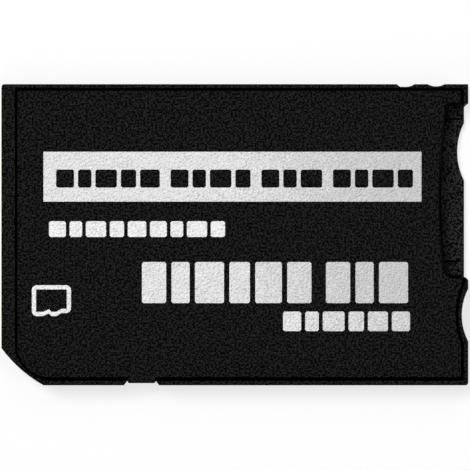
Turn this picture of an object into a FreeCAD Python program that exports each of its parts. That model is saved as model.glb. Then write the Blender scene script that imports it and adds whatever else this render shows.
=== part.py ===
import FreeCAD, Part
import os
import re

import Sketcher

# Memory card adapter, in millimetres.
# The origin is the centre of the underside. +X points to the card slot, -X to the host contacts,
# and +Z is up through the label face.

# Every size that can be set by itself
SIZES = {
    # Whole body
    "body_length": 31.0,
    "body_width": 20.0,
    "body_height": 1.6,
    "corner_cut_length": 2.79,
    "corner_cut_width": 2.47,
    "corner_cut_bulge": 0.2,
    "outer_corner_radius": 0.2,
    "mouth_corner_radius": 0.07,
    "underside_chamfer": 0.06,
    # Notches in the outer edge
    "lock_notch_place": 8.13,
    "lock_notch_length": 2.35,
    "lock_notch_depth": 0.25,
    "lock_notch_slope": 0.2,
    "side_notch_depth": 0.43,
    "scoop_place": 1.58,
    "scoop_length": 1.11,
    "scoop_depth": 0.15,
    "step_scoop_place": 3.57,
    "step_scoop_curve": 0.565,
    "step_scoop_flat": 0.395,
    "step_scoop_slope": 0.22,
    "step_scoop_depth": 0.176,
    # Rim round the label panel, and the groove between them
    "rim_left": 0.9,
    "rim_right": 0.305,
    "rim_top": 0.255,
    "rim_bottom": 0.305,
    "groove_left": 0.14,
    "groove_right": 0.17,
    "groove_top": 0.17,
    "groove_bottom": 0.22,
    # Label panel
    "cover_thickness": 0.43,
    "ink_thickness": 0.02,
    "panel_corner_radius": 0.15,
    "panel_cut_length": 2.9,
    "panel_cut_width": 2.25,
    "panel_cut_bulge": 0.36,
    "panel_bow_overlap": 0.105,
    "panel_bow_depth": 0.36,
    "panel_flare": 0.1,
    "tab_setback": 0.143,
    "tab_clearance": 0.06,
    "tab_chamfer": 0.06,
    # Card slot
    "slot_width": 11.53,
    "slot_wall": 1.3,
    "slot_floor": 0.3,
    "slot_depth": 15.13,
    "lip_setback": 0.17,
    "finger_notch_place": 3.15,
    "finger_notch_length": 3.86,
    "finger_notch_depth": 0.455,
    "cutout_depth_top": 1.46,
    "cutout_depth_bottom": 1.64,
    "cutout_bulge": 0.34,
    "cutout_radius_top": 0.3,
    "cutout_radius_bottom": 0.7,
    "cutout_slope_angle": 18.0,
    "rail_width_top": 1.0,
    "rail_width_bottom": 1.1,
    "rail_height": 0.08,
    "rail_setback": 0.11,
    "rail_ramp": 0.7,
    "spring_well_length": 3.6,
    "spring_well_floor": 0.18,
    # Inside of the housing
    "board_seat": 0.35,
    "bay_wall_left": 1.3,
    "bay_wall_side": 1.0,
    "bay_cut_length": 1.9,
    "bay_cut_width": 2.1,
    "side_bay_wall": 1.07,
    "side_bay_end": 1.9,
    "side_bay_rib": 1.2,
    "post_diameter": 1.0,
    "post_headroom": 0.02,
    "post_edge": 2.0,
    "post_front": 3.6,
    "post_back": 3.65,
    "pin_diameter": 0.6,
    "pin_length": 0.45,
    "pin_clearance": 0.04,
    # Host contact row
    "host_margin_top": 2.35,
    "host_margin_bottom": 4.15,
    "window_rib": 0.3,
    "window_reach": 4.1,
    "pad_side_gap": 0.1,
    "pad_length": 2.4,
    "pad_thickness": 0.03,
    "pad_setback": 0.15,
    # Circuit board
    "board_thickness": 0.3,
    "board_clearance": 0.05,
    "post_clearance": 0.1,
    # Contact carrier and card contact springs
    "carrier_length": 1.15,
    "carrier_side_clearance": 0.04,
    "carrier_headroom": 0.02,
    "spring_margin": 0.615,
    "spring_width": 0.5,
    "spring_thickness": 0.12,
    "spring_slot_clearance": 0.04,
    "spring_lift": 0.04,
    "spring_tail": 1.45,
    "spring_drop": 0.3,
    "spring_foot": 1.0,
    "spring_arm": 1.9,
    "spring_rise": 0.26,
    "spring_nose": 0.5,
    "spring_nose_drop": 0.16,
    # Parts on the board
    "drop_radius": 2.6,
    "drop_headroom": 0.12,
    "drop_along": 3.4,
    "drop_across": 0.4,
    "chip_length": 1.0,
    "chip_width": 0.5,
    "chip_headroom": 0.18,
    "chip_terminal": 0.22,
    "chip_recess": 0.02,
    "chip_setback": 3.0,
    "chip_pitch": 1.1,
    "capacitor_edge": 2.6,
    "resistor_edge": 4.8,
    # Label print
    "field_left": 2.79,
    "field_right": 3.11,
    "field_height": 3.31,
    "mark_left": 2.02,
    "mark_length": 2.6,
    "mark_height": 2.05,
    "mark_stroke": 0.28,
    "mark_radius": 0.33,
    "field_text_left": 0.84,
    "field_text_right": 0.56,
    "field_text_base": 0.93,
    "field_text_height": 1.2,
    "second_line_left": 3.16,
    "second_line_right": 16.15,
    "second_line_height": 1.05,
    "bold_line_left": 9.33,
    "bold_line_right": 4.0,
    "bold_line_height": 2.73,
    "last_line_left": 18.7,
    "last_line_right": 3.87,
    "last_line_height": 1.3,
    "block_corner": 0.1,
}

HOST_CONTACTS = 10
CARD_CONTACTS = 8
SIDE_BAYS = 3
CAPACITORS = 3
RESISTORS = 2

# Shares of the wall below the slot at which the side notch ends
SIDE_NOTCH_SHARES = (0.4073, 0.894)

# Shares of the body's width down to the print's parts, from the side next to the slot
FIELD_TOP = 0.2245
SECOND_LINE_BASE = 0.5075
BOLD_LINE_BASE = 0.727
LAST_LINE_BASE = 0.82
MARK_TOP = 0.6675

# The card mark's lower edge, in shares of its length and height. The last share of its
# height holds on to the right end.
MARK_EDGE = ((0.28, 0.0), (0.39, 0.06), (0.44, 0.085), (0.5, 0.0), (0.62, 0.0), (0.76, 0.1))

# Printed words are plain blocks. Their widths, the gap between two of them and the gap
# between two words are given in the line's own unit.
BLOCK_WIDTHS = (1.0, 0.75, 1.2, 0.85, 1.1)
BLOCK_GAP = 0.22
WORD_GAP = 0.6
FIELD_WORDS = (5, 4, 3, 4)
SECOND_WORDS = (9,)
BOLD_WORDS = (6, 3)
LAST_WORDS = (6,)

doc = FreeCAD.newDocument("MemoryCardAdapter")
sheet = doc.addObject("Spreadsheet::Sheet", "Sizes")
for row, (name, size) in enumerate(SIZES.items(), start=1):
    sheet.set(f"A{row}", name)
    sheet.set(f"B{row}", str(size))
    sheet.setAlias(f"B{row}", name)
doc.recompute()


# Formulas, written with the names of the sizes

def formula(text):
    """The text with each size's name turned into a reference to its cell."""
    def cell(match):
        word = match.group(0)
        return f"Sizes.{word}" if word in SIZES else word
    return re.sub(r"[a-z][a-z_]*", cell, text)


def value(text):
    """What the formula comes to now."""
    return float(sheet.evalExpression(formula(text)))


def bow_radius(chord, bulge):
    """Radius of the arc that stands off its chord by the bulge."""
    return f"((({chord}) / 2)^2 + ({bulge})^2) / (2 * ({bulge}))"


def diagonal(run, rise):
    return f"sqrt(({run})^2 + ({rise})^2)"


LEFT = "(-body_length / 2)"
RIGHT = "(body_length / 2)"
BOTTOM = "(-body_width / 2)"
TOP = "(body_width / 2)"

COVER_TOP = "(body_height - ink_thickness)"
LEDGE = f"({COVER_TOP} - cover_thickness)"
BOARD_TOP = "(board_seat + board_thickness)"

SLOT_TOP = f"({TOP} - slot_wall)"
SLOT_BOTTOM = f"({SLOT_TOP} - slot_width)"
LIP = f"({RIGHT} - lip_setback)"
CARD_STOP = f"({LIP} - slot_depth)"
CARRIER_BACK = f"({CARD_STOP} - carrier_length)"

BAY_LEFT = f"({LEFT} + bay_wall_left)"
BAY_BOTTOM = f"({BOTTOM} + bay_wall_side)"
BAY_TOP = f"({TOP} - bay_wall_side)"
BOARD_LEFT = f"({BAY_LEFT} + board_clearance)"
BOARD_RIGHT = f"({CARRIER_BACK} - board_clearance)"

NOTCH_LEFT = f"({LEFT} + lock_notch_place)"
NOTCH_RIGHT = f"({NOTCH_LEFT} + lock_notch_length)"
SIDE_NOTCH_LOW, SIDE_NOTCH_HIGH = (
    f"({BOTTOM} + {share} * ({SLOT_BOTTOM} - {BOTTOM}))" for share in SIDE_NOTCH_SHARES)

HOST_GAPS = HOST_CONTACTS - 1
HOST_PITCH = f"((body_width - host_margin_top - host_margin_bottom) / {HOST_GAPS})"
WINDOW_WIDTH = f"({HOST_PITCH} - window_rib)"
PAD_WIDTH = f"({WINDOW_WIDTH} - 2 * pad_side_gap)"

SPRING_GAPS = CARD_CONTACTS - 1
WELL_BOTTOM = f"({SLOT_BOTTOM} + rail_width_bottom)"
WELL_TOP = f"({SLOT_TOP} - rail_width_top)"
FIRST_SPRING = f"({WELL_BOTTOM} + spring_margin + spring_width / 2)"
LAST_SPRING = f"({WELL_TOP} - spring_margin - spring_width / 2)"
SPRING_PITCH = f"(({LAST_SPRING} - {FIRST_SPRING}) / {SPRING_GAPS})"

DROP_HEIGHT = f"({LEDGE} - {BOARD_TOP} - drop_headroom)"
CHIP_HEIGHT = f"({LEDGE} - {BOARD_TOP} - chip_headroom)"

SIDE_RIBS = f"({SIDE_BAYS - 1} * side_bay_rib)"
SIDE_CELL = f"(({RIGHT} - side_bay_end - {CARD_STOP} - {SIDE_RIBS}) / {SIDE_BAYS})"


# Drawing and building helpers

def new_body(label):
    body = doc.addObject("PartDesign::Body", label)
    body.Label = label
    return body


def origin_feature(body, role):
    return next(item for item in body.Origin.OriginFeatures if item.Role == role)


def new_sketch(body, name, plane="XY_Plane", offset="0"):
    """An empty sketch on one of the body's own planes, moved off it by a formula."""
    sketch = body.newObject("Sketcher::SketchObject", name)
    sketch.AttachmentSupport = [(origin_feature(body, plane), "")]
    sketch.MapMode = "FlatFace"
    sketch.setExpression("AttachmentOffset.Base.z", formula(offset))
    return sketch


def hold(sketch, constraints):
    """Adds constraints, each paired with the formula that its size follows, or with None."""
    indexes = sketch.addConstraint([constraint for constraint, _ in constraints])
    for index, (_, text) in zip(indexes, constraints):
        if text is not None:
            sketch.setExpression(f"Constraints[{index}]", formula(text))


def arc_between(start, end, radius, turn):
    """The shorter arc from start to end, which turns left or right on the way."""
    chord = end - start
    side = FreeCAD.Vector(-chord.y, chord.x, 0).normalize()
    reach = max(radius ** 2 - (chord.Length / 2) ** 2, 0) ** 0.5
    centre = (start + end) / 2 + side * (reach if turn == "left" else -reach)
    circle = Part.Circle(centre, FreeCAD.Vector(0, 0, 1), radius)
    first, last = (start, end) if turn == "left" else (end, start)
    return Part.ArcOfCircle(circle, circle.parameter(first), circle.parameter(last))


def draw(sketch, steps, closed=True):
    """Draws one outline with every point held at its two formulas.

    A step is (x, y), or (x, y, radius, turn) where an arc leads to that point.
    """
    places = [FreeCAD.Vector(value(step[0]), value(step[1]), 0) for step in steps]
    constraints = []
    pieces = []
    for index in range(len(steps) if closed else len(steps) - 1):
        target = (index + 1) % len(steps)
        start, end = places[index], places[target]
        if len(steps[target]) == 2:
            piece = sketch.addGeometry(Part.LineSegment(start, end), False)
            pieces.append((piece, 1, 2))
        else:
            radius, turn = steps[target][2:]
            piece = sketch.addGeometry(arc_between(start, end, value(radius), turn), False)
            pieces.append((piece, 1, 2) if turn == "left" else (piece, 2, 1))
            constraints.append((Sketcher.Constraint("Radius", piece, value(radius)), radius))
    joins = zip(pieces, pieces[1:] + (pieces[:1] if closed else []))
    for (piece, _, tail), (after, head, _) in joins:
        joint = Sketcher.Constraint("Coincident", piece, tail, after, head)
        constraints.append((joint, None))
    corners = [(piece, head) for piece, head, _ in pieces]
    if not closed:
        corners.append((pieces[-1][0], pieces[-1][2]))
    for corner, step, place in zip(corners, steps, places):
        constraints.append((Sketcher.Constraint("DistanceX", -1, 1, *corner, place.x), step[0]))
        constraints.append((Sketcher.Constraint("DistanceY", -1, 1, *corner, place.y), step[1]))
    hold(sketch, constraints)


def draw_circle(sketch, along, across, diameter):
    centre = FreeCAD.Vector(value(along), value(across), 0)
    circle = Part.Circle(centre, FreeCAD.Vector(0, 0, 1), value(diameter) / 2)
    piece = sketch.addGeometry(circle, False)
    hold(sketch, [
        (Sketcher.Constraint("Diameter", piece, value(diameter)), diameter),
        (Sketcher.Constraint("DistanceX", -1, 1, piece, 3, centre.x), along),
        (Sketcher.Constraint("DistanceY", -1, 1, piece, 3, centre.y), across),
    ])


def rectangle(left, bottom, right, top):
    return [(left, bottom), (right, bottom), (right, top), (left, top)]


def clipped(left, bottom, right, top, corner):
    """A rectangle with its four corners cut off."""
    return [
        (f"{left} + {corner}", bottom),
        (f"{right} - {corner}", bottom),
        (right, f"{bottom} + {corner}"),
        (right, f"{top} - {corner}"),
        (f"{right} - {corner}", top),
        (f"{left} + {corner}", top),
        (left, f"{top} - {corner}"),
        (left, f"{bottom} + {corner}"),
    ]


def pad(body, name, sketch, length, centred=False):
    feature = body.newObject("PartDesign::Pad", name)
    feature.Profile = sketch
    feature.SideType = "Symmetric" if centred else "One side"
    feature.setExpression("Length", formula(length))
    doc.recompute()
    return feature


def pocket(body, name, sketch, depth, upward=False):
    """Cuts down from the sketch, or up from it, and makes sure that it did cut."""
    before = body.Shape.Volume
    feature = body.newObject("PartDesign::Pocket", name)
    feature.Profile = sketch
    feature.Reversed = upward
    feature.setExpression("Length", formula(depth))
    doc.recompute()
    if body.Shape.Volume >= before:
        raise RuntimeError(f"{name} cuts nothing")
    return feature


def row_of(body, name, feature, axis, pitch, count):
    """Repeats a feature along one of the body's own axes."""
    pattern = body.newObject("PartDesign::LinearPattern", name)
    pattern.Originals = [feature]
    pattern.Direction = (origin_feature(body, axis), [""])
    pattern.Occurrences = count
    pattern.setExpression("Length", formula(f"({pitch}) * {count - 1}"))
    body.Tip = pattern
    doc.recompute()
    return pattern


def face_names(feature, test):
    """Names of the feature's faces whose boxes pass the test."""
    return [
        f"Face{number}" for number, face in enumerate(feature.Shape.Faces, start=1)
        if test(face.BoundBox)
    ]


# Outlines that the housing and the cover share

def body_outline():
    """The whole adapter seen from above, anticlockwise from the cut corner."""
    side_radius = bow_radius(f"{SIDE_NOTCH_HIGH} - {SIDE_NOTCH_LOW}", "side_notch_depth")
    finger_radius = bow_radius("finger_notch_length", "finger_notch_depth")
    scoop_radius = bow_radius("scoop_length", "scoop_depth")
    step_radius = bow_radius("2 * step_scoop_curve", "step_scoop_depth")
    cut_radius = bow_radius(diagonal("corner_cut_length", "corner_cut_width"), "corner_cut_bulge")
    finger = f"({SLOT_TOP} - finger_notch_place)"
    scoop = f"({RIGHT} - scoop_place)"
    step_scoop = f"({RIGHT} - step_scoop_place)"
    step_floor = f"{TOP} - step_scoop_depth"
    return [
        (f"{LEFT} + corner_cut_length", BOTTOM, cut_radius, "left"),
        (NOTCH_LEFT, BOTTOM),
        (f"{NOTCH_LEFT} + lock_notch_slope", f"{BOTTOM} + lock_notch_depth"),
        (f"{NOTCH_RIGHT} - lock_notch_slope", f"{BOTTOM} + lock_notch_depth"),
        (NOTCH_RIGHT, BOTTOM),
        (f"{RIGHT} - outer_corner_radius", BOTTOM),
        (RIGHT, f"{BOTTOM} + outer_corner_radius", "outer_corner_radius", "left"),
        (RIGHT, SIDE_NOTCH_LOW),
        (RIGHT, SIDE_NOTCH_HIGH, side_radius, "right"),
        (RIGHT, f"{SLOT_BOTTOM} - lip_setback"),
        (LIP, SLOT_BOTTOM),
        (LIP, f"{finger} - finger_notch_length / 2"),
        (LIP, f"{finger} + finger_notch_length / 2", finger_radius, "right"),
        (LIP, f"{SLOT_TOP} - lip_setback"),
        (RIGHT, SLOT_TOP),
        (RIGHT, f"{TOP} - mouth_corner_radius"),
        (f"{RIGHT} - mouth_corner_radius", TOP, "mouth_corner_radius", "left"),
        (scoop, TOP),
        (f"{scoop} - scoop_length", TOP, scoop_radius, "right"),
        (step_scoop, TOP),
        (f"{step_scoop} - step_scoop_curve", step_floor, step_radius, "right"),
        (f"{step_scoop} - step_scoop_curve - step_scoop_flat", step_floor),
        (f"{step_scoop} - step_scoop_curve - step_scoop_flat - step_scoop_slope", TOP),
        (f"{LEFT} + outer_corner_radius", TOP),
        (LEFT, f"{TOP} - outer_corner_radius", "outer_corner_radius", "left"),
        (LEFT, f"{BOTTOM} + corner_cut_width"),
    ]


def panel_outline(inset):
    """The label panel's outline, with the groove's width taken off it inset times.

    At 0 it is the inner edge of the rim, and at 1 it is the edge of the cover.
    """
    left = f"({LEFT} + rim_left + {inset} * groove_left)"
    right = f"({RIGHT} - rim_right - {inset} * groove_right)"
    top = f"({TOP} - rim_top - {inset} * groove_top)"
    bottom = f"({BOTTOM} + rim_bottom + {inset} * groove_bottom)"
    corner = "panel_corner_radius"
    cut_x = f"({LEFT} + panel_cut_length)"
    cut_y = f"({BOTTOM} + panel_cut_width)"
    cut_radius = bow_radius(diagonal(f"{cut_x} - {left}", f"{cut_y} - {bottom}"), "panel_cut_bulge")
    bow_low = f"({SIDE_NOTCH_LOW} - panel_bow_overlap)"
    bow_high = f"({SIDE_NOTCH_HIGH} + panel_bow_overlap)"
    return [
        (cut_x, bottom, cut_radius, "left"),
        (f"{right} - {corner}", bottom),
        (right, f"{bottom} + {corner}", corner, "left"),
        (right, bow_low),
        (right, bow_high, bow_radius(f"{bow_high} - {bow_low}", "panel_bow_depth"), "right"),
        (f"{right} + panel_flare", SLOT_BOTTOM),
        (right, SLOT_TOP),
        (right, f"{top} - {corner}"),
        (f"{right} - {corner}", top, corner, "left"),
        (f"{left} + {corner}", top),
        (left, f"{top} - {corner}", corner, "left"),
        (left, cut_y),
    ]


def cover_outline():
    """The cover: the panel with the slot's cut-out and the tab that fills the lock notch."""
    outline = panel_outline(1)
    low_x = f"({RIGHT} - cutout_depth_bottom)"
    high_x = f"({RIGHT} - cutout_depth_top)"
    low_y = f"({SLOT_BOTTOM} + cutout_radius_bottom)"
    high_y = f"({SLOT_TOP} - cutout_radius_top)"
    reach = diagonal(f"{high_x} - {low_x}", f"{high_y} - {low_y}")
    cutout = [
        (f"{low_x} + cutout_radius_bottom", SLOT_BOTTOM),
        (low_x, low_y, "cutout_radius_bottom", "right"),
        (high_x, high_y, bow_radius(reach, "cutout_bulge"), "right"),
        (f"{high_x} + cutout_radius_top", SLOT_TOP, "cutout_radius_top", "right"),
    ]
    flare = next(index for index, step in enumerate(outline) if step[1] == SLOT_BOTTOM)
    outline[flare + 1:flare + 1] = cutout

    panel_bottom = outline[0][1]
    tab_left = f"({NOTCH_LEFT} + lock_notch_slope + tab_clearance)"
    tab_right = f"({NOTCH_RIGHT} - lock_notch_slope - tab_clearance)"
    tab_bottom = f"({BOTTOM} + tab_setback)"
    tab = [
        (tab_left, panel_bottom),
        (tab_left, f"{tab_bottom} + tab_chamfer"),
        (f"{tab_left} + tab_chamfer", tab_bottom),
        (f"{tab_right} - tab_chamfer", tab_bottom),
        (tab_right, f"{tab_bottom} + tab_chamfer"),
        (tab_right, panel_bottom),
    ]
    outline[1:1] = tab
    return outline


def bay_outline(clearance, right):
    """The board's bay at clearance 0, or the board itself inside it, with the cut corner."""
    left = f"({BAY_LEFT} + {clearance})"
    bottom = f"({BAY_BOTTOM} + {clearance})"
    top = f"({BAY_TOP} - {clearance})"
    return [
        (f"{BAY_LEFT} + bay_cut_length", bottom),
        (right, bottom),
        (right, top),
        (left, top),
        (left, f"{BAY_BOTTOM} + bay_cut_width"),
    ]


def post_places():
    return [
        (f"({BAY_LEFT} + post_front)", f"({BAY_TOP} - post_edge)"),
        (f"({CARRIER_BACK} - post_back)", f"({BAY_BOTTOM} + post_edge)"),
    ]


def pin_places():
    """The cover's pins stand in the middle of the ribs between the side bays."""
    middle = f"((({SLOT_BOTTOM} - side_bay_wall) + {BAY_BOTTOM}) / 2)"
    first = f"{CARD_STOP} + {SIDE_CELL} + side_bay_rib / 2"
    return [
        (f"({first} + {index} * ({SIDE_CELL} + side_bay_rib))", middle)
        for index in range(SIDE_BAYS - 1)
    ]


def host_place(index):
    """Y of one host contact, counted from the cut corner."""
    return f"({BOTTOM} + host_margin_bottom + {index} * {HOST_PITCH})"


def card_contact_place(index):
    return f"({FIRST_SPRING} + {index} * {SPRING_PITCH})"


# Bottom housing: floor, rim, card channel, board bay and contact windows in one moulding

def make_bottom_housing():
    body = new_body("bottom_housing")
    outline = new_sketch(body, "HousingOutline")
    draw(outline, body_outline())
    block = pad(body, "HousingBlock", outline, "body_height")
    chamfer = body.newObject("PartDesign::Chamfer", "UndersideChamfer")
    chamfer.Base = (block, face_names(block, lambda box: box.ZMax < 0.001))
    chamfer.setExpression("Size", formula("underside_chamfer"))
    doc.recompute()

    seat = new_sketch(body, "CoverSeatOutline", offset="body_height")
    draw(seat, panel_outline(0))
    pocket(body, "CoverSeat", seat, f"body_height - {LEDGE}")

    tab_way = new_sketch(body, "TabWayOutline", offset="body_height")
    draw(tab_way, rectangle(
        f"{NOTCH_LEFT} + lock_notch_slope", BOTTOM,
        f"{NOTCH_RIGHT} - lock_notch_slope", f"{BOTTOM} + rim_bottom + groove_bottom"))
    pocket(body, "TabWay", tab_way, f"body_height - {LEDGE}")

    channel = new_sketch(body, "CardChannelOutline", offset="body_height")
    draw(channel, rectangle(CARRIER_BACK, SLOT_BOTTOM, f"{RIGHT} + 1", SLOT_TOP))
    pocket(body, "CardChannel", channel, "body_height - slot_floor")

    bay = new_sketch(body, "BoardBayOutline", offset=LEDGE)
    draw(bay, bay_outline("0", CARRIER_BACK))
    pocket(body, "BoardBay", bay, f"{LEDGE} - board_seat")

    well = new_sketch(body, "SpringWellOutline", offset="slot_floor")
    draw(well, rectangle(
        CARD_STOP, WELL_BOTTOM, f"{CARD_STOP} + spring_well_length", WELL_TOP))
    pocket(body, "SpringWell", well, "slot_floor - spring_well_floor")

    make_rails(body)
    make_side_bays(body)
    make_contact_windows(body)
    make_posts_and_sockets(body)
    return body


def make_rails(body):
    """Two low rails carry the card, and the lower one slopes down towards the mouth."""
    start, end = CARD_STOP, f"({LIP} - rail_setback)"
    top = "(slot_floor + rail_height)"
    lower = [
        (start, "slot_floor"),
        (end, "slot_floor"),
        (end, "slot_floor + rail_height / 2"),
        (f"{end} - rail_ramp", top),
        (start, top),
    ]
    upper = rectangle(start, "slot_floor", end, top)
    rails = (
        ("LowerRail", lower, SLOT_BOTTOM, "rail_width_bottom"),
        ("UpperRail", upper, WELL_TOP, "rail_width_top"),
    )
    for name, steps, side, width in rails:
        profile = new_sketch(body, f"{name}Profile", "XZ_Plane", f"-({side})")
        draw(profile, steps)
        rail = pad(body, name, profile, width)
        rail.Reversed = True


def make_side_bays(body):
    """A row of hollows below the card channel, which keep the moulding's walls even."""
    hollow = new_sketch(body, "SideBayOutline", offset=LEDGE)
    draw(hollow, rectangle(
        CARD_STOP, BAY_BOTTOM, f"{CARD_STOP} + {SIDE_CELL}", f"{SLOT_BOTTOM} - side_bay_wall"))
    first = pocket(body, "SideBay", hollow, f"{LEDGE} - board_seat")
    row_of(body, "SideBays", first, "X_Axis", f"{SIDE_CELL} + side_bay_rib", SIDE_BAYS)


def make_contact_windows(body):
    """Windows through the floor that run out at the front edge, with a rib between each two."""
    middle = host_place(0)
    window = new_sketch(body, "ContactWindowOutline")
    draw(window, rectangle(
        f"{LEFT} - 1", f"{middle} - {WINDOW_WIDTH} / 2",
        f"{LEFT} + window_reach", f"{middle} + {WINDOW_WIDTH} / 2"))
    first = pocket(body, "ContactWindow", window, "board_seat", upward=True)
    row_of(body, "ContactWindows", first, "Y_Axis", HOST_PITCH, HOST_CONTACTS)


def make_posts_and_sockets(body):
    """Posts locate the board and back up the cover, and sockets take the cover's pins."""
    posts = new_sketch(body, "PostOutlines", offset="board_seat")
    for along, across in post_places():
        draw_circle(posts, along, across, "post_diameter")
    pad(body, "Posts", posts, f"{LEDGE} - board_seat - post_headroom")

    sockets = new_sketch(body, "SocketOutlines", offset=LEDGE)
    for along, across in pin_places():
        draw_circle(sockets, along, across, "pin_diameter + 2 * pin_clearance")
    pocket(body, "Sockets", sockets, "pin_length + pin_clearance")


# Top cover: the label panel, which lies on the housing's ledge inside the rim

def make_top_cover():
    body = new_body("top_cover")
    outline = new_sketch(body, "CoverOutline", offset=LEDGE)
    draw(outline, cover_outline())
    plate = pad(body, "CoverPlate", outline, "cover_thickness")
    slope_cutout(body, plate)

    pins = new_sketch(body, "PinOutlines", offset=f"{LEDGE} - pin_length")
    for along, across in pin_places():
        draw_circle(pins, along, across, "pin_diameter")
    pad(body, "Pins", pins, "pin_length")
    return body


def slope_cutout(body, plate):
    """The wall over the card's way slopes out downwards, so that a card's thick end rides under it."""
    top = plate.Shape.BoundBox.ZMax
    reach = value(f"{RIGHT} - cutout_depth_bottom - cutout_bulge") - 0.01
    low, high = value(SLOT_BOTTOM) - 0.01, value(SLOT_TOP) + 0.01
    walls = face_names(plate, lambda box: (
        box.ZLength > 0.1 and box.XMin > reach and box.YMin > low and box.YMax < high))
    slope = body.newObject("PartDesign::Draft", "CutoutSlope")
    slope.Base = (plate, walls)
    slope.NeutralPlane = (plate, face_names(plate, lambda box: box.ZMin > top - 0.001))
    slope.setExpression("Angle", formula("cutout_slope_angle"))
    doc.recompute()
    if body.Shape.Volume <= plate.Shape.Volume:
        raise RuntimeError("the cut-out's wall slopes the wrong way")


# Circuit board, its gold pads and the parts that are soldered to it

def make_circuit_board():
    body = new_body("circuit_board")
    outline = new_sketch(body, "BoardOutline", offset="board_seat")
    draw(outline, bay_outline("board_clearance", BOARD_RIGHT))
    for along, across in post_places():
        draw_circle(outline, along, across, "post_diameter + 2 * post_clearance")
    pad(body, "Board", outline, "board_thickness")
    return body


def make_host_contact(index):
    """One gold pad under the board, seen through its window."""
    body = new_body(f"host_contact_{index + 1:02d}")
    outline = new_sketch(body, "PadOutline", offset="board_seat - pad_thickness")
    left = f"({BOARD_LEFT} + pad_setback)"
    draw(outline, rectangle(
        left, f"-{PAD_WIDTH} / 2", f"{left} + pad_length", f"{PAD_WIDTH} / 2"))
    pad(body, "GoldPad", outline, "pad_thickness")
    body.setExpression("Placement.Base.y", formula(host_place(index)))
    return body


def make_controller():
    """A bare chip under a drop of black epoxy."""
    body = new_body("controller_epoxy_drop")
    profile = new_sketch(body, "DropProfile", "XZ_Plane")
    crown = bow_radius("2 * drop_radius", DROP_HEIGHT)
    draw(profile, [("0", "0"), ("drop_radius", "0"), ("0", DROP_HEIGHT, crown, "left")])
    drop = body.newObject("PartDesign::Revolution", "Drop")
    drop.Profile = profile
    drop.ReferenceAxis = (profile, ["V_Axis"])
    drop.Angle = 360
    body.setExpression("Placement.Base.x", formula(f"{BOARD_LEFT} + drop_along"))
    body.setExpression("Placement.Base.y", formula("drop_across"))
    body.setExpression("Placement.Base.z", formula(BOARD_TOP))
    return body


def make_chip_part(label, across):
    """A ceramic chip part with a raised metal terminal at each end."""
    body = new_body(label)
    core = new_sketch(body, "CoreOutline")
    draw(core, rectangle(
        "-chip_length / 2 + chip_terminal / 2", "-chip_width / 2 + chip_recess",
        "chip_length / 2 - chip_terminal / 2", "chip_width / 2 - chip_recess"))
    pad(body, "Core", core, f"{CHIP_HEIGHT} - chip_recess")
    for end, name in ((-1, "LeftTerminal"), (1, "RightTerminal")):
        outer = f"{end} * chip_length / 2"
        inner = f"{end} * (chip_length / 2 - chip_terminal)"
        left, right = (outer, inner) if end < 0 else (inner, outer)
        terminal = new_sketch(body, f"{name}Outline")
        draw(terminal, rectangle(left, "-chip_width / 2", right, "chip_width / 2"))
        pad(body, name, terminal, CHIP_HEIGHT)
    body.setExpression("Placement.Base.x", formula(f"{BOARD_RIGHT} - chip_setback"))
    body.setExpression("Placement.Base.y", formula(across))
    body.setExpression("Placement.Base.z", formula(BOARD_TOP))
    return body


# Contact carrier and the card contact springs

def make_contact_carrier():
    """Insulating comb that holds the springs, and whose face stops the card."""
    body = new_body("contact_carrier")
    outline = new_sketch(body, "CarrierOutline", offset="slot_floor")
    draw(outline, rectangle(
        CARRIER_BACK, f"{SLOT_BOTTOM} + carrier_side_clearance",
        CARD_STOP, f"{SLOT_TOP} - carrier_side_clearance"))
    pad(body, "CarrierBlock", outline, f"{LEDGE} - carrier_headroom - slot_floor")

    middle = card_contact_place(0)
    half = "(spring_width / 2 + spring_slot_clearance)"
    slot = new_sketch(body, "SpringSlotOutline", offset="slot_floor")
    draw(slot, rectangle(
        f"{CARRIER_BACK} - 1", f"{middle} - {half}", f"{CARD_STOP} + 1", f"{middle} + {half}"))
    first = pocket(
        body, "SpringSlot", slot, f"{BOARD_TOP} + spring_thickness - slot_floor", upward=True)
    row_of(body, "SpringSlots", first, "Y_Axis", SPRING_PITCH, CARD_CONTACTS)
    return body


def make_card_contact(index):
    """One stamped spring: a tail on the board, a drop through the comb, and an arm with a nose."""
    body = new_body(f"card_contact_spring_{index + 1}")
    start = f"({BOARD_RIGHT} - spring_tail + board_clearance)"
    tail_z = f"({BOARD_TOP} + spring_thickness / 2)"
    foot_z = "(slot_floor + spring_lift + spring_thickness / 2)"
    drop_x = f"({CARRIER_BACK} + spring_drop)"
    foot_x = f"({drop_x} + spring_drop)"
    arm_x = f"({foot_x} + spring_foot)"
    nose_x = f"({arm_x} + spring_arm)"

    section = new_sketch(body, "StripSection", "YZ_Plane", start)
    draw(section, rectangle(
        "-spring_width / 2", BOARD_TOP, "spring_width / 2", f"{BOARD_TOP} + spring_thickness"))
    path = new_sketch(body, "StripPath", "XZ_Plane")
    draw(path, [
        (start, tail_z),
        (drop_x, tail_z),
        (foot_x, foot_z),
        (arm_x, foot_z),
        (nose_x, f"{foot_z} + spring_rise"),
        (f"{nose_x} + spring_nose", f"{foot_z} + spring_rise - spring_nose_drop"),
    ], closed=False)
    strip = body.newObject("PartDesign::AdditivePipe", "Strip")
    strip.Profile = section
    strip.Spine = (path, [])
    strip.Transition = "Right corner"
    body.setExpression("Placement.Base.y", formula(card_contact_place(index)))
    doc.recompute()
    return body


# Label print: a film of white ink on the cover

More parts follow.
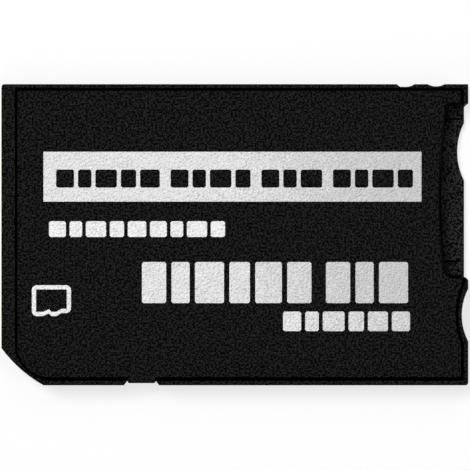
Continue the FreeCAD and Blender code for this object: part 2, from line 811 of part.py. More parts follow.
def line_blocks(line, left, right, base, words):
    """Outlines of the blocks that stand for the words of one printed line."""
    places = []
    reach = 0
    for count in words:
        for index in range(count):
            width = BLOCK_WIDTHS[index % len(BLOCK_WIDTHS)]
            places.append((reach, reach + width))
            reach += width + BLOCK_GAP
        reach += WORD_GAP - BLOCK_GAP
    unit = f"(({right} - {left}) / {places[-1][1]:.2f})"
    return [
        clipped(
            f"({left} + {start:.2f} * {unit})", base,
            f"({left} + {end:.2f} * {unit})", f"({base} + {line}_height)", "block_corner")
        for start, end in places
    ]


def ink(name, outlines):
    """A film of ink of the given outline, on the cover's face."""
    outline = doc.addObject("Sketcher::SketchObject", f"{name}_outline")
    outline.setExpression("Placement.Base.z", formula(COVER_TOP))
    for steps in outlines:
        draw(outline, steps)
    film = doc.addObject("Part::Extrusion", name)
    film.Base = outline
    film.Solid = True
    film.DirMode = "Normal"
    film.FaceMakerClass = "Part::FaceMakerBullseye"
    film.setExpression("LengthFwd", formula("ink_thickness"))
    return film


def group(name, pieces):
    fusion = doc.addObject("Part::MultiFuse", name)
    fusion.Label = name
    fusion.Shapes = pieces
    return fusion


def make_white_field():
    """The white field, with the dark words left open in it."""
    left = f"({LEFT} + field_left)"
    right = f"({RIGHT} - field_right)"
    top = f"({TOP} - {FIELD_TOP} * body_width)"
    bottom = f"({top} - field_height)"
    sheet_of_ink = ink("field_sheet", [rectangle(left, bottom, right, top)])
    blocks = line_blocks(
        "field_text", f"({left} + field_text_left)", f"({right} - field_text_right)",
        f"({bottom} + field_text_base)", FIELD_WORDS)
    field = doc.addObject("Part::Cut", "white_field")
    field.Base = sheet_of_ink
    field.Tool = group("field_words", [
        ink(f"field_block_{number}", [block]) for number, block in enumerate(blocks, start=1)
    ])
    return field


def make_card_mark():
    """The mark that shows which way up the card goes: the card's own outline, lying on its side."""
    left = f"({LEFT} + mark_left)"
    right = f"({left} + mark_length)"
    top = f"({TOP} - {MARK_TOP} * body_width)"
    bottom = f"({top} - mark_height)"
    end = f"({bottom} + {MARK_EDGE[-1][1]} * mark_height)"

    def lower_edge(rise):
        return [
            (f"{left} + {along} * mark_length", f"{bottom} + {up} * mark_height + {rise}")
            for along, up in MARK_EDGE
        ]

    outer = [
        (f"{left} + mark_radius", bottom, "mark_radius", "left"),
        *lower_edge("0"),
        (f"{right} - mark_radius", end),
        (right, f"{end} + mark_radius", "mark_radius", "left"),
        (right, f"{top} - mark_radius"),
        (f"{right} - mark_radius", top, "mark_radius", "left"),
        (f"{left} + mark_radius", top),
        (left, f"{top} - mark_radius", "mark_radius", "left"),
        (left, f"{bottom} + mark_radius"),
    ]
    inner = [
        (f"{left} + mark_stroke", f"{bottom} + mark_stroke"),
        *lower_edge("mark_stroke"),
        (f"{right} - mark_stroke", f"{end} + mark_stroke"),
        (f"{right} - mark_stroke", f"{top} - mark_stroke"),
        (f"{left} + mark_stroke", f"{top} - mark_stroke"),
    ]
    return ink("card_mark", [outer, inner])


def make_label_print():
    pieces = [make_white_field(), make_card_mark()]
    lines = (
        ("second_line", SECOND_LINE_BASE, SECOND_WORDS),
        ("bold_line", BOLD_LINE_BASE, BOLD_WORDS),
        ("last_line", LAST_LINE_BASE, LAST_WORDS),
    )
    for line, share, words in lines:
        blocks = line_blocks(
            line, f"({LEFT} + {line}_left)", f"({RIGHT} - {line}_right)",
            f"({TOP} - {share} * body_width)", words)
        pieces += [
            ink(f"{line}_block_{number}", [block]) for number, block in enumerate(blocks, start=1)
        ]
    return group("label_print", pieces)


def main():
    pieces = [
        make_bottom_housing(),
        make_top_cover(),
        make_label_print(),
        make_circuit_board(),
        make_contact_carrier(),
        make_controller(),
    ]
    pieces += [make_host_contact(index) for index in range(HOST_CONTACTS)]
    pieces += [make_card_contact(index) for index in range(CARD_CONTACTS)]
    pieces += [
        make_chip_part(
            f"capacitor_{index + 1}", f"({BAY_TOP} - capacitor_edge - {index} * chip_pitch)")
        for index in range(CAPACITORS)
    ]
    pieces += [
        make_chip_part(
            f"resistor_{index + 1}", f"({BAY_BOTTOM} + resistor_edge - {index} * chip_pitch)")
        for index in range(RESISTORS)
    ]
    doc.recompute()

    for item in doc.Objects:
        if "Invalid" in item.State or "Error" in item.State:
            raise RuntimeError(f"{item.Label} failed: {item.State}")
    for piece in pieces:
        if piece.Shape.isNull() or not piece.Shape.isValid():
            raise RuntimeError(f"{piece.Label} has no valid shape")

    os.makedirs("parts", exist_ok=True)
    for piece in pieces:
        piece.Shape.exportStep(f"parts/{piece.Label}.step")
        print(f"{piece.Label}: {len(piece.Shape.Solids)} solids, {piece.Shape.Volume:.3f} cubic mm")


main()
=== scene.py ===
import math

import bmesh
import bpy
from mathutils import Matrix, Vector


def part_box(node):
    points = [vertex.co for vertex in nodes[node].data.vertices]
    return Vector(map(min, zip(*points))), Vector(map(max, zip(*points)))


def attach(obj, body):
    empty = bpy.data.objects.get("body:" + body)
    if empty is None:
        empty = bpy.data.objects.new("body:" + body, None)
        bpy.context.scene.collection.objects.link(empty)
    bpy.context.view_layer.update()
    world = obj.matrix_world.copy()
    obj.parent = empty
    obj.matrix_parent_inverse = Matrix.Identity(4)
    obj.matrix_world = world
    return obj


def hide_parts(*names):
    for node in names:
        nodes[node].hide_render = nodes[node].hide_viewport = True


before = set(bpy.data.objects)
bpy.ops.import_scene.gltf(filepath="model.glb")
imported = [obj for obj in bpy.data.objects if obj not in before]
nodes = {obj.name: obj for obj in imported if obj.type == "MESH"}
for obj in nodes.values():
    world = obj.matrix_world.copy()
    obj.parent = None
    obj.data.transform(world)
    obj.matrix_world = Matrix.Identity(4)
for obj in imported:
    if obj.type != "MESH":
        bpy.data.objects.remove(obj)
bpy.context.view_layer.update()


# Bottom housing
# The lower half of the adapter is one moulding in black ABS, with the rim, the card channel,
# the board's bay and the contact windows in it. The mould was spark eroded to a pebble grain.
# The channel's floor is painted paler, painted light that lifts the recess out of its shade.

EDGE_ROUND = 0.00005        # the sharp edges of the moulding are broken by this much
SHARP_FROM = math.radians(35)
FLAT_WITHIN = math.radians(1)
MERGE_WITHIN = 0.000001
SAME_PLACE = 0.00001        # levels and sides that differ by less than this are the same
PLASTIC_BLACK = (0.0001, 0.0001, 0.0001, 1)
# The grain's tops are painted paler than the black, a painted highlight where light would catch
# them.
PLASTIC_HIGHLIGHT = (0.0157, 0.0157, 0.0159, 1)
# The channel's floor is painted paler still, painted light against the shade of its recess.
PLASTIC_FLOOR_LIGHT = (0.026, 0.026, 0.0262, 1)
# The smooth plastic is painted near black, painted shade that makes dark lines of bevels, walls and
# slopes.
PLASTIC_SHADE_BLACK = (0.0003, 0.0003, 0.0003, 1)
PLASTIC_ROUGHNESS = 0.4
SMOOTH_ROUGHNESS = (0.2, 0.3)
PLASTIC_SHEEN = 0.04
SMOOTH_SHEEN = 0.008
PEBBLE_SIZE = 0.000172      # from one pebble of the grain to the next
PEBBLE_DEPTH = 0.00014
PEBBLE_SOFTNESS = 0.35
TOOTH_RATE = 1.3            # how many teeth there are to one pebble
TOOTH_HEIGHT = 1.1          # in heights of a pebble
HIGHLIGHT_TOPS = (0.59, 0.41)    # the tooth's tops are painted paler between these levels, a painted highlight
CHANNEL_DEPTH = PEBBLE_DEPTH * 0.8
RIM_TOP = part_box("bottom_housing")[1].z
UNDERSIDE_REACH = 0.0001    # a face that starts below this belongs to the outside
CHANNEL_REACH = 0.0004      # a level face below this belongs to the channel's floor
CHANNEL_FLOOR = 0.0003
RAIL_TOP = 0.00038
RAIL_START = 0.004
RAIL_SIDES = (-0.00173, 0.0077)
RAIL_RISE = (0.1, 1.1)      # a vertex between these shares of the rail's height is on it
RAIL_DRAFT = 0.0001         # how far a rail's side leans back from its foot to its top
UPRIGHT = 0.1               # a face is upright if its normal's Z is below this,
LEVEL = 0.9                 # and level if it is above this
GRAIN, SMOOTH, LIT_FLOOR = range(3)    # the number of each plastic on a moulded piece


def feed(tree, node, sockets):
    """Sets the node's named sockets, each to a plain value or to what another socket gives."""
    for name, source in sockets.items():
        if isinstance(source, bpy.types.NodeSocket):
            tree.links.new(source, node.inputs[name])
        else:
            node.inputs[name].default_value = source


def add(tree, kind, sockets=None, **settings):
    """Adds a node with its settings, and feeds its sockets."""
    node = tree.nodes.new(kind)
    for name, value in settings.items():
        setattr(node, name, value)
    feed(tree, node, sockets or {})
    return node


def compute(tree, operation, *terms):
    """What a math node makes of its terms, which are numbers or sockets."""
    node = add(tree, "ShaderNodeMath", operation=operation)
    feed(tree, node, dict(enumerate(terms)))
    return node.outputs[0]


def stretch(tree, value, start=0, end=1, low=0, high=1):
    """A number from low to high, as the value goes from start to end."""
    node = add(tree, "ShaderNodeMapRange", {
        "Value": value, "From Min": start, "From Max": end, "To Min": low, "To Max": high})
    return node.outputs["Result"]


def blend(tree, share, first, second):
    """The colour that lies by this share on the way from the first to the second."""
    node = add(
        tree, "ShaderNodeMix", {"Factor": share, "A": first, "B": second}, data_type="RGBA")
    return node.outputs["Result"]


def places(tree):
    """Object coordinates, so that a pattern stays where it is on its piece."""
    return add(tree, "ShaderNodeTexCoord").outputs["Object"]


def noise(tree, place, scale, detail, roughness=0.5):
    """Soft random levels round 0.5, of this scale."""
    node = add(tree, "ShaderNodeTexNoise", {
        "Vector": place, "Scale": scale, "Detail": detail, "Roughness": roughness})
    return node.outputs["Fac"]


def bumped(tree, height, depth, **settings):
    """The normals of a surface that is raised by the height times the depth."""
    node = add(tree, "ShaderNodeBump", {"Height": height, "Distance": depth}, **settings)
    return node.outputs["Normal"]


def new_group(name, kind, takes, gives):
    """A new node group, its input sockets and its output node."""
    group = bpy.data.node_groups.new(name, kind)
    for way, sockets in (("INPUT", takes), ("OUTPUT", gives)):
        for socket, content in sockets.items():
            group.interface.new_socket(socket, in_out=way, socket_type=content)
    inside = group.nodes.new("NodeGroupInput")
    outside = group.nodes.new("NodeGroupOutput")
    return group, inside.outputs, outside


def new_material(name):
    """A new material, its node tree and its Principled shader."""
    material = bpy.data.materials.new(name)
    material.use_nodes = True
    tree = material.node_tree
    return material, tree, tree.nodes["Principled BSDF"]


def dress(piece, material):
    """Gives the whole piece one material."""
    piece.data.materials.clear()
    piece.data.materials.append(material)


def put(name, data):
    """Puts a new object of the data into the scene."""
    thing = bpy.data.objects.new(name, data)
    bpy.context.scene.collection.objects.link(thing)
    return thing


def moulded_copy(node_name):
    """A merged copy of a moulded node, with one flat face where the node has many triangles."""
    form = bmesh.new()
    form.from_mesh(nodes[node_name].data)
    bmesh.ops.remove_doubles(form, verts=form.verts, dist=MERGE_WITHIN)
    bmesh.ops.dissolve_limit(
        form, angle_limit=FLAT_WITHIN, verts=form.verts, edges=form.edges)
    form.normal_update()
    return form


def broken_edges(form, node_name, piece_name, plastics, finish):
    """Makes the piece of the form, with its sharp edges broken and smooth.

    finish says which of the plastics a face has.
    """
    form.normal_update()
    for face in form.faces:
        face.smooth = True
        face.material_index = finish(face)
    mesh = bpy.data.meshes.new(piece_name)
    for plastic in plastics:
        mesh.materials.append(plastic)
    form.to_mesh(mesh)
    form.free()
    piece = put(piece_name, mesh)
    bevel = piece.modifiers.new("broken edges", "BEVEL")
    bevel.width = EDGE_ROUND
    bevel.segments = 2
    bevel.limit_method = "ANGLE"
    bevel.angle_limit = SHARP_FROM
    bevel.harden_normals = True
    bevel.use_clamp_overlap = True
    # The bevels take the smooth plastic, so each broken edge is painted as a dark line of shade.
    bevel.material = SMOOTH
    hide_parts(node_name)
    return piece


def build_pebble_grain():
    """Spark eroded mould grain: round pebbles of uneven height with a finer tooth on them, whose
    tops the Pebbles mask marks for a painted highlight.
    """
    group, inside, outside = new_group(
        "pebble grain", "ShaderNodeTree",
        {"Size": "NodeSocketFloat", "Depth": "NodeSocketFloat"},
        {"Pebbles": "NodeSocketFloat", "Normal": "NodeSocketVector"})
    place = places(group)
    rate = compute(group, "DIVIDE", 1, inside["Size"])
    pebble = add(
        group, "ShaderNodeTexVoronoi",
        {"Vector": place, "Scale": rate, "Smoothness": PEBBLE_SOFTNESS}, feature="SMOOTH_F1")
    tooth = noise(group, place, scale=compute(group, "MULTIPLY", rate, TOOTH_RATE), detail=0)
    both = compute(group, "MULTIPLY_ADD", tooth, TOOTH_HEIGHT, pebble.outputs["Distance"])
    # The Pebbles mask marks the tooth's tops, which are painted paler: a painted highlight.
    feed(group, outside, {
        "Pebbles": stretch(group, tooth, *HIGHLIGHT_TOPS),
        "Normal": bumped(group, both, inside["Depth"], invert=True),
    })
    return group


pebble_grain = build_pebble_grain()


def grain_of(tree, depth):
    """The pebble grain of the moulding, at this depth."""
    return add(
        tree, "ShaderNodeGroup", {"Size": PEBBLE_SIZE, "Depth": depth}, node_tree=pebble_grain
    ).outputs


def moulded_black(name, pale, depth):
    """Black moulded plastic, with the tops of its grain painted paler: a painted highlight."""
    material, tree, shader = new_material(name)
    grain = grain_of(tree, depth)
    feed(tree, shader, {
        "Base Color": blend(tree, grain["Pebbles"], PLASTIC_BLACK, pale),
        "Normal": grain["Normal"],
        "Roughness": PLASTIC_ROUGHNESS,
        "Specular IOR Level": PLASTIC_SHEEN,
    })
    return material


housing_plastic = moulded_black("housing plastic", PLASTIC_HIGHLIGHT, PEBBLE_DEPTH)
# Painted light: the channel's floor is paler, so that its recess does not fall into shade.
channel_floor_light = moulded_black("channel floor plastic painted light", PLASTIC_FLOOR_LIGHT, CHANNEL_DEPTH)
# Painted shade: smooth faces are near black, much darker than the grained plastic.
smooth_shaded_plastic, tree, shader = new_material("smooth black plastic painted shade")
polish = noise(tree, places(tree), scale=2500, detail=2)
feed(tree, shader, {
    "Base Color": PLASTIC_SHADE_BLACK,
    "Roughness": stretch(tree, polish, low=SMOOTH_ROUGHNESS[0], high=SMOOTH_ROUGHNESS[1]),
    "Specular IOR Level": SMOOTH_SHEEN,
})


def housing_finish(face):
    """Grain outside, a floor painted paler where the card slides as painted light, and smooth walls
    for the rest, painted near black as painted shade.
    """
    low = min(vertex.co.z for vertex in face.verts)
    high = max(vertex.co.z for vertex in face.verts)
    if low > RIM_TOP - SAME_PLACE or low < UNDERSIDE_REACH:
        return GRAIN
    return LIT_FLOOR if face.normal.z > LEVEL and high < CHANNEL_REACH else SMOOTH


form = moulded_copy("bottom_housing")
for vertex in form.verts:
    rise = (vertex.co.z - CHANNEL_FLOOR) / (RAIL_TOP - CHANNEL_FLOOR)
    on_rail = RAIL_RISE[0] < rise < RAIL_RISE[1] and vertex.co.x > RAIL_START
    for side, lean in zip(RAIL_SIDES, (-1, 1)):
        if on_rail and abs(vertex.co.y - side) < SAME_PLACE:
            vertex.co.y += lean * rise * RAIL_DRAFT
housing = broken_edges(
    form, "bottom_housing", "housing_moulding",
    (housing_plastic, smooth_shaded_plastic, channel_floor_light), housing_finish)
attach(housing, "root")


# Top cover
# A thin plate of the same black plastic, pressed into the housing's rim on two pins. Its
# grain is a little deeper than the rim's, because its side of the mould was etched longer.

COVER_DEPTH = PEBBLE_DEPTH * 1.1
COVER_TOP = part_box("top_cover")[1].z
SLOPE_BACK = 0.00007        # how far the smooth slope of the cut-out eats into the label face

cover_plastic = moulded_black("cover plastic", PLASTIC_HIGHLIGHT, COVER_DEPTH)


def cover_finish(face):
    """Only the label face has grain. The plate's sides and its pins are smooth, painted near black
    as painted shade.
    """
    low = min(vertex.co.z for vertex in face.verts)
    return GRAIN if low > COVER_TOP - SAME_PLACE else SMOOTH


form = moulded_copy("top_cover")
for vertex in form.verts:
    slopes = [face.normal.xy for face in vertex.link_faces if UPRIGHT < face.normal.z < LEVEL]
    if slopes and vertex.co.z > COVER_TOP - SAME_PLACE:
        vertex.co.xy -= sum(slopes, Vector((0, 0))).normalized() * SLOPE_BACK
cover = broken_edges(
    form, "top_cover", "cover_plate", (cover_plastic, smooth_shaded_plastic), cover_finish)
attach(cover, "root")


# Label print
# White ink, pad printed on the cover: a field with dark word blocks left open, lines of plain
# blocks and the outlined card mark. The ink follows the grain, and its cover is uneven in
# patches. It is painted darker towards +X as painted shade, and paler on the grain's tops as a
# painted highlight.

INK_THICK = (0.86, 0.86, 0.86, 1)
INK_FULL = (0.762, 0.762, 0.762, 1)
INK_THIN_AND_SHADED = (0.555, 0.555, 0.56, 1)
SHADE_ALONG_X = (-0.0008, 0.0105)    # the ink is painted darker along X from the first of these to the second, as painted shade
SMALL_LINES = ((-0.0003, 0.0011), (-0.0066, -0.0049))   # each from a lower to an upper Y
MARK_END = -0.0105              # the mark lies left of this, and in the lower half
THICK_SHADE_SPARED = 0.35             # the share of the painted shade that the thick ink is spared
PATCHES = 0.9                   # how much the ink varies from patch to patch
TOPS_HIGHLIT = 0.55             # how much paler the grain's tops are painted in the ink, a painted highlight
INK_DEPTH = PEBBLE_DEPTH * 0.5

ink, tree, shader = new_material("white ink")
place = places(tree)
across = add(tree, "ShaderNodeSeparateXYZ", {"Vector": place}).outputs
small = compute(tree, "MAXIMUM", *(
    compute(tree, "COMPARE", across["Y"], (low + high) / 2, (high - low) / 2)
    for low, high in SMALL_LINES))
mark = compute(
    tree, "MULTIPLY",
    compute(tree, "LESS_THAN", across["X"], MARK_END), compute(tree, "LESS_THAN", across["Y"], 0))
thick = compute(tree, "MAXIMUM", small, mark)
# Painted shade: the ink is painted darker towards +X, where less light falls.
shaded_to_right = compute(
    tree, "MULTIPLY",
    stretch(tree, across["X"], *SHADE_ALONG_X), compute(tree, "MULTIPLY_ADD", thick, -THICK_SHADE_SPARED, 1))
grain = grain_of(tree, INK_DEPTH)
cloud = noise(tree, place, scale=1400, detail=3, roughness=0.6)
patches_and_shade = compute(tree, "MULTIPLY_ADD", cloud, PATCHES, shaded_to_right)
# The grain's tops are painted paler in the ink, a painted highlight.
bare = compute(tree, "MULTIPLY_ADD", grain["Pebbles"], -TOPS_HIGHLIT, patches_and_shade)
feed(tree, shader, {
    "Base Color": blend(tree, bare, blend(tree, thick, INK_FULL, INK_THICK), INK_THIN_AND_SHADED),
    "Normal": grain["Normal"],
    "Roughness": 0.6,
    "Specular IOR Level": 0.3,
})
dress(nodes["label_print"], ink)


# Circuit board
# Glass epoxy laminate under green solder mask. Copper tracks show as slightly raised, paler
# lines, and the laminate's weave shows faintly between them.

MASK_GREEN = (0.006, 0.075, 0.028, 1)
MASK_OVER_COPPER = (0.016, 0.16, 0.055, 1)
TRACK_PITCH = 0.0006
TRACK_WIDTH = TRACK_PITCH * 0.2
TRACK_LENGTH = TRACK_PITCH * 6
WEAVE_SHOWS = 0.12
MASK_DEPTH = 0.00002

mask, tree, shader = new_material("green solder mask")
place = places(tree)
tracks = add(
    tree, "ShaderNodeTexBrick",
    {"Vector": place, "Scale": 1, "Brick Width": TRACK_LENGTH, "Row Height": TRACK_PITCH,
     "Mortar Size": TRACK_WIDTH, "Mortar Smooth": 0.2},
    offset=0.5, squash=1)
weave = add(tree, "ShaderNodeTexWave", {"Vector": place, "Scale": 3000, "Distortion": 0.4})
raised = compute(
    tree, "MULTIPLY_ADD", weave.outputs["Fac"], WEAVE_SHOWS, tracks.outputs["Fac"])
feed(tree, shader, {
    "Base Color": blend(tree, raised, MASK_GREEN, MASK_OVER_COPPER),
    "Normal": bumped(tree, raised, depth=MASK_DEPTH),
    "Roughness": 0.32,
})
dress(nodes["circuit_board"], mask)


# Host contacts
# Ten pads of copper under nickel and hard gold, on the board's underside. Pushing the adapter
# in and out leaves fine marks along them.

GOLD = (0.86, 0.58, 0.22, 1)
GOLD_WORN = (0.72, 0.47, 0.19, 1)
LINE_STRETCH = 0.04         # the lines are drawn out along X by this


def build_drawn_lines():
    """Fine lines along X, such as wiping, rolling or drawing leaves on metal."""
    group, inside, outside = new_group(
        "drawn lines", "ShaderNodeTree",
        {"Fineness": "NodeSocketFloat", "Depth": "NodeSocketFloat"},
        {"Lines": "NodeSocketFloat", "Normal": "NodeSocketVector"})
    drawn_out = add(group, "ShaderNodeMapping", {
        "Vector": places(group), "Scale": (LINE_STRETCH, 1, 1)})
    lines = noise(
        group, drawn_out.outputs["Vector"], scale=inside["Fineness"], detail=3, roughness=0.6)
    feed(group, outside, {"Lines": lines, "Normal": bumped(group, lines, inside["Depth"])})
    return group


drawn_lines = build_drawn_lines()


def drawn_metal(name, colour, worn, roughness, fineness, depth):
    """A bright metal whose colour and gloss change a little along its drawn lines."""
    material, tree, shader = new_material(name)
    lines = add(
        tree, "ShaderNodeGroup", {"Fineness": fineness, "Depth": depth}, node_tree=drawn_lines
    ).outputs
    feed(tree, shader, {
        "Base Color": blend(tree, lines["Lines"], colour, worn),
        "Roughness": stretch(tree, lines["Lines"], low=roughness, high=roughness + 0.2),
        "Normal": lines["Normal"],
        "Metallic": 1,
    })
    return material


gold = drawn_metal(
    "hard gold", GOLD, GOLD_WORN, roughness=0.18, fineness=9000, depth=0.0000012)
for name in nodes:
    if name.startswith("host_contact"):
        dress(nodes[name], gold)


# Card contact springs
# Eight strips of phosphor bronze, stamped and formed in one go, with a flash of gold. Their
# tails are soldered to the board, and their arms stand up into the card's way.

BRONZE = (0.8, 0.6, 0.33, 1)
BRONZE_DULL = (0.55, 0.38, 0.2, 1)

spring_bronze = drawn_metal(
    "spring bronze", BRONZE, BRONZE_DULL, roughness=0.24, fineness=7000, depth=0.000001)
for name in nodes:
    if name.startswith("card_contact_spring"):
        dress(nodes[name], spring_bronze)


# Contact carrier
# A comb moulded in dark glass filled plastic, which stands the heat of soldering. Short
# fibres show as pale flecks in it.

FILLED_DARK = (0.022, 0.022, 0.024, 1)
FIBRE_PALE = (0.09, 0.09, 0.092, 1)
FIBRE_STRETCH = 0.25        # the fibres lie along Y, as the plastic flowed

filled, tree, shader = new_material("glass filled plastic")
laid = add(tree, "ShaderNodeMapping", {
    "Vector": places(tree), "Scale": (1, FIBRE_STRETCH, 1)})
fibres = noise(tree, laid.outputs["Vector"], scale=16000, detail=2)
flecks = stretch(tree, fibres, start=0.6, end=0.75)
feed(tree, shader, {
    "Base Color": blend(tree, flecks, FILLED_DARK, FIBRE_PALE),
    "Normal": bumped(tree, fibres, depth=0.000004),
    "Roughness": 0.45,
})
dress(nodes["contact_carrier"], filled)


# Controller drop
# Black epoxy, dripped over the bare chip and cured. It is glossy, with a faint orange peel.

EPOXY_BLACK = (0.008, 0.008, 0.0085, 1)
EPOXY_BLOOM = (0.02, 0.02, 0.021, 1)

epoxy, tree, shader = new_material("black epoxy")
peel = noise(tree, places(tree), scale=1500, detail=2)
feed(tree, shader, {
    "Base Color": blend(tree, peel, EPOXY_BLACK, EPOXY_BLOOM),
    "Roughness": stretch(tree, peel, low=0.12, high=0.3),
    "Normal": bumped(tree, peel, depth=0.00001),
})
dress(nodes["controller_epoxy_drop"], epoxy)


# Capacitors and resistors
# Surface mounted chip parts: a fired ceramic core with a tinned terminal at each end, which
# is soldered to the board.

CAPACITOR_BROWN = (0.36, 0.22, 0.11, 1)
CAPACITOR_SPECK = (0.26, 0.15, 0.07, 1)
RESISTOR_BLACK = (0.012, 0.012, 0.014, 1)
RESISTOR_SPECK = (0.03, 0.03, 0.034, 1)
TIN = (0.62, 0.62, 0.6, 1)
TERMINAL_LENGTH = 0.00022


def chip_finish(name, core_colour, core_speck, part):
    """Ceramic between two tinned ends, told apart by how far along X a point lies."""
    low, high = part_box(part)
    middle, half = (low.x + high.x) / 2, (high.x - low.x) / 2
    material, tree, shader = new_material(name)
    place = places(tree)
    along = add(tree, "ShaderNodeSeparateXYZ", {"Vector": place}).outputs["X"]
    distance = compute(tree, "ABSOLUTE", compute(tree, "SUBTRACT", along, middle))
    at_end = compute(tree, "GREATER_THAN", distance, half - TERMINAL_LENGTH)
    speck = noise(tree, place, scale=9000, detail=3)
    feed(tree, shader, {
        "Base Color": blend(tree, at_end, blend(tree, speck, core_colour, core_speck), TIN),
        "Metallic": at_end,
        "Normal": bumped(tree, speck, depth=0.000006),
        "Roughness": 0.38,
    })
    return material


capacitor_finish = chip_finish(
    "capacitor ceramic", CAPACITOR_BROWN, CAPACITOR_SPECK, "capacitor_1")
resistor_finish = chip_finish("resistor ceramic", RESISTOR_BLACK, RESISTOR_SPECK, "resistor_1")
for name in nodes:
    if name.startswith("capacitor"):
        dress(nodes[name], capacitor_finish)
    if name.startswith("resistor"):
        dress(nodes[name], resistor_finish)


# Solder joints
# Small pools of tin solder on the board, which wet the sides of the spring tails and the ends
# of the chip parts. They were printed as paste and melted in one pass through the oven.

SOLDER_BRIGHT = (0.66, 0.66, 0.64, 1)
SOLDER_DULL = (0.4, 0.4, 0.39, 1)
TAIL_POOL = (0.0015, 0.0009, 0.00011)       # length, width and height
CHIP_POOL = (0.00026, 0.00056, 0.0002)
TAIL_END_TO_POOL = 0.0005                   # from the tail's end to the middle of its pool
SPRINGS = 8

solder, tree, shader = new_material("tin solder")
frost = noise(tree, places(tree), scale=12000, detail=3)
feed(tree, shader, {
    "Base Color": blend(tree, frost, SOLDER_BRIGHT, SOLDER_DULL),
    "Roughness": stretch(tree, frost, low=0.2, high=0.45),
    "Normal": bumped(tree, frost, depth=0.000004),
    "Metallic": 1,
})


def build_solder_pools():
    """One low dome on each point, flat underneath, of the given length, width and height."""
    group, inside, outside = new_group(
        "solder pools", "GeometryNodeTree",
        {"Places": "NodeSocketGeometry", "Length": "NodeSocketFloat",
         "Width": "NodeSocketFloat", "Height": "NodeSocketFloat"},
        {"Pools": "NodeSocketGeometry"})
    ball = add(group, "GeometryNodeMeshUVSphere", {"Segments": 20, "Rings": 10, "Radius": 1.0})
    size = add(group, "ShaderNodeCombineXYZ", {
        "X": compute(group, "DIVIDE", inside["Length"], 2),
        "Y": compute(group, "DIVIDE", inside["Width"], 2),
        "Z": inside["Height"]})
    shaped = add(group, "GeometryNodeTransform", {
        "Geometry": ball.outputs["Mesh"], "Scale": size.outputs[0]})
    place = add(group, "GeometryNodeInputPosition").outputs[0]
    apart = add(group, "ShaderNodeSeparateXYZ", {"Vector": place}).outputs
    flattened = add(group, "ShaderNodeCombineXYZ", {
        "X": apart["X"], "Y": apart["Y"], "Z": compute(group, "MAXIMUM", apart["Z"], 0)})
    dome = add(group, "GeometryNodeSetPosition", {
        "Geometry": shaped.outputs["Geometry"], "Position": flattened.outputs[0]})
    spread = add(group, "GeometryNodeInstanceOnPoints", {
        "Points": inside["Places"], "Instance": dome.outputs["Geometry"]})
    whole = add(group, "GeometryNodeRealizeInstances", {
        "Geometry": spread.outputs["Instances"]})
    smooth = add(group, "GeometryNodeSetShadeSmooth", {"Geometry": whole.outputs["Geometry"]})
    finished = add(group, "GeometryNodeSetMaterial", {
        "Geometry": smooth.outputs["Geometry"], "Material": solder})
    feed(group, outside, {"Pools": finished.outputs["Geometry"]})
    return group


solder_pools = build_solder_pools()


def solder_at(name, middles, pool):
    """One piece of solder, with a pool of this size round each of the middles."""
    points = bpy.data.meshes.new(name)
    points.from_pydata(middles, [], [])
    piece = put(name, points)
    pools = piece.modifiers.new("pools", "NODES")
    pools.node_group = solder_pools
    sizes = dict(zip(("Length", "Width", "Height"), pool))
    for socket in solder_pools.interface.items_tree:
        if socket.in_out == "INPUT" and socket.name in sizes:
            pools[socket.identifier] = sizes[socket.name]
    seen = piece.evaluated_get(bpy.context.evaluated_depsgraph_get())
    mesh = bpy.data.meshes.new_from_object(seen)
    piece.modifiers.remove(pools)
    piece.data = mesh
    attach(piece, "root")


board_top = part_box("circuit_board")[1].z
tail_middles = []
for number in range(1, SPRINGS + 1):
    low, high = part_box(f"card_contact_spring_{number}")
    tail_middles.append((low.x + TAIL_END_TO_POOL, (low.y + high.y) / 2, board_top))
solder_at("spring_tail_solder", tail_middles, TAIL_POOL)

chip_end_middles = []
for name in nodes:
    if name.startswith(("capacitor", "resistor")):
        low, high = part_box(name)
        for end in (low.x, high.x):
            chip_end_middles.append((end, (low.y + high.y) / 2, board_top))
solder_at("chip_end_solder", chip_end_middles, CHIP_POOL)


# Studio
# A white table and a low white surround, lit by four soft lamps at half height. The one at the
# far left is the strongest. It is dim straight above, so that black plastic stays black.

WHITE = (0.9, 0.9, 0.9, 1)
FLOOR_SHOWN = 0.7           # the share of plain white in what the camera sees of each
SURROUND_SHOWN = 1.0
FLOOR_LEVEL = -0.00002
FLOOR_RADIUS = 1.2
SURROUND_HEIGHT = 0.25
WORLD_STRENGTH = 0.12
LAMP_WIDTH = 0.25
LAMPS = (                   # name, place and power
    ("key lamp", (-0.24, 0.2, 0.42), 2.45),
    ("right lamp", (0.38, -0.1, 0.32), 0.65),
    ("far lamp", (0.1, 0.38, 0.32), 0.32),
    ("near lamp", (-0.05, -0.38, 0.32), 0.32),
)
FRAME_WIDTH = 0.031208      # what the photograph's frame takes in at the label's height
LABEL_HEIGHT = 0.0016
CAMERA_X, CAMERA_Y = 0.00001, -0.000017


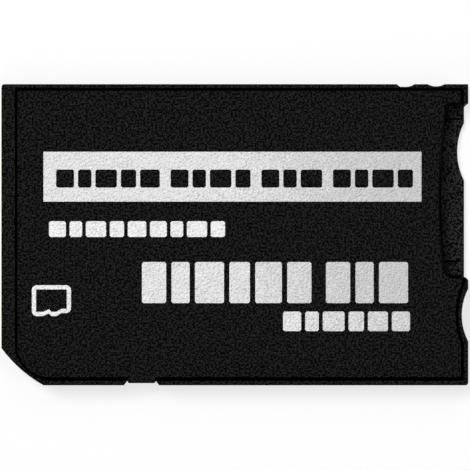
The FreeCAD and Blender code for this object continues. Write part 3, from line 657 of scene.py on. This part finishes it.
def studio_white(name, shown):
    """White that reads as plain white where it is seen, and takes light and shadow for the rest."""
    material, tree, shader = new_material(name)
    feed(tree, shader, {"Base Color": WHITE, "Roughness": 0.9, "Specular IOR Level": 0.1})
    path = add(tree, "ShaderNodeLightPath").outputs
    seen = compute(
        tree, "MAXIMUM", compute(tree, "MAXIMUM", path["Is Camera Ray"], path["Is Glossy Ray"]),
        path["Is Transmission Ray"])
    mixed = add(tree, "ShaderNodeMixShader", {"Fac": compute(tree, "MULTIPLY", seen, shown)})
    tree.links.new(shader.outputs["BSDF"], mixed.inputs[1])
    tree.links.new(add(tree, "ShaderNodeEmission").outputs["Emission"], mixed.inputs[2])
    feed(tree, tree.nodes["Material Output"], {"Surface": mixed.outputs["Shader"]})
    return material


def stage_piece(name, form, level, shown):
    """A white piece of the stage, raised by the level."""
    bmesh.ops.translate(form, verts=form.verts, vec=(0, 0, level))
    mesh = bpy.data.meshes.new(name)
    form.to_mesh(mesh)
    form.free()
    piece = put(name, mesh)
    dress(piece, studio_white(f"{name} white", shown))
    return piece


form = bmesh.new()
bmesh.ops.create_circle(form, cap_ends=True, segments=96, radius=FLOOR_RADIUS)
floor = stage_piece("floor", form, FLOOR_LEVEL, FLOOR_SHOWN)
form = bmesh.new()
bmesh.ops.create_cone(
    form, segments=96, radius1=FLOOR_RADIUS, radius2=FLOOR_RADIUS, depth=SURROUND_HEIGHT)
surround = stage_piece("surround", form, SURROUND_HEIGHT / 2 + FLOOR_LEVEL, SURROUND_SHOWN)

world = bpy.data.worlds.new("studio")
world.use_nodes = True
feed(world.node_tree, world.node_tree.nodes["Background"], {
    "Color": (1, 1, 1, 1), "Strength": WORLD_STRENGTH})
bpy.context.scene.world = world

for name, place, power in LAMPS:
    light = bpy.data.lights.new(name, "AREA")
    light.size = LAMP_WIDTH
    light.energy = power
    lamp = put(name, light)
    lamp.location = place
    lamp.rotation_euler = (-lamp.location.normalized()).to_track_quat("-Z", "Y").to_euler()
    lamp.visible_camera = False

view = bpy.data.cameras.new("camera")
view.lens = 200
view.sensor_width = 36
view.clip_start = 0.01
distance = FRAME_WIDTH * view.lens / view.sensor_width
camera = put("camera", view)
camera.location = (CAMERA_X, CAMERA_Y, LABEL_HEIGHT + distance)
bpy.context.scene.camera = camera
bpy.context.scene.view_settings.view_transform = "Standard"
